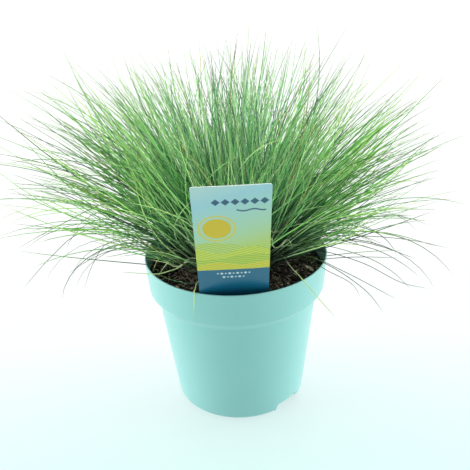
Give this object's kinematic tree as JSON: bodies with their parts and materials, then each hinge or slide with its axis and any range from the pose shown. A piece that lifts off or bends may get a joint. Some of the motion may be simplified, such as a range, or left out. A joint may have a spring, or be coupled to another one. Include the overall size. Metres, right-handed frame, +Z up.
{
  "type": "potted blue fescue clump",
  "caption": "Mounded tussock of fine blue-green grass leaves in potting soil in a tapered nursery pot with a deep collar and drain notches, with a plain plant label leaning on its rim.",
  "frame": {"origin": "middle of the pot's underside, where it stands on a surface", "axes": "+Z up; -Y is the front, where the label stands; +X is to the right seen from the front"},
  "size_m": [0.3465, 0.2696, 0.286],
  "materials": {
    "pot_plastic": "satin",
    "potting_soil": "matte",
    "label_card": "satin",
    "crown": "matte",
    "fescue_leaf": "satin"
  },
  "bodies": {
    "root": {"pot": "pot_plastic", "potting_soil": "potting_soil", "plant_label": "label_card", "crown": "crown", "leaf_tuft_01": "fescue_leaf", "leaf_tuft_02": "fescue_leaf", "leaf_tuft_03": "fescue_leaf", "leaf_tuft_04": "fescue_leaf", "leaf_tuft_05": "fescue_leaf", "leaf_tuft_06": "fescue_leaf", "leaf_tuft_07": "fescue_leaf", "leaf_tuft_08": "fescue_leaf", "leaf_tuft_09": "fescue_leaf", "leaf_tuft_10": "fescue_leaf", "leaf_tuft_11": "fescue_leaf", "leaf_tuft_12": "fescue_leaf", "leaf_tuft_13": "fescue_leaf", "leaf_tuft_14": "fescue_leaf", "leaf_tuft_15": "fescue_leaf", "leaf_tuft_16": "fescue_leaf", "leaf_tuft_17": "fescue_leaf", "leaf_tuft_18": "fescue_leaf", "leaf_tuft_19": "fescue_leaf", "leaf_tuft_20": "fescue_leaf", "leaf_tuft_21": "fescue_leaf", "leaf_tuft_22": "fescue_leaf", "leaf_tuft_23": "fescue_leaf", "leaf_tuft_24": "fescue_leaf", "leaf_tuft_25": "fescue_leaf", "leaf_tuft_26": "fescue_leaf", "leaf_tuft_27": "fescue_leaf", "leaf_tuft_28": "fescue_leaf", "leaf_tuft_29": "fescue_leaf", "leaf_tuft_30": "fescue_leaf", "leaf_tuft_31": "fescue_leaf", "leaf_tuft_32": "fescue_leaf", "leaf_tuft_33": "fescue_leaf", "leaf_tuft_34": "fescue_leaf", "leaf_tuft_35": "fescue_leaf", "leaf_tuft_36": "fescue_leaf", "leaf_tuft_37": "fescue_leaf", "leaf_tuft_38": "fescue_leaf", "leaf_tuft_39": "fescue_leaf", "leaf_tuft_40": "fescue_leaf", "leaf_tuft_41": "fescue_leaf", "leaf_tuft_42": "fescue_leaf"}
  },
  "joints": []
}
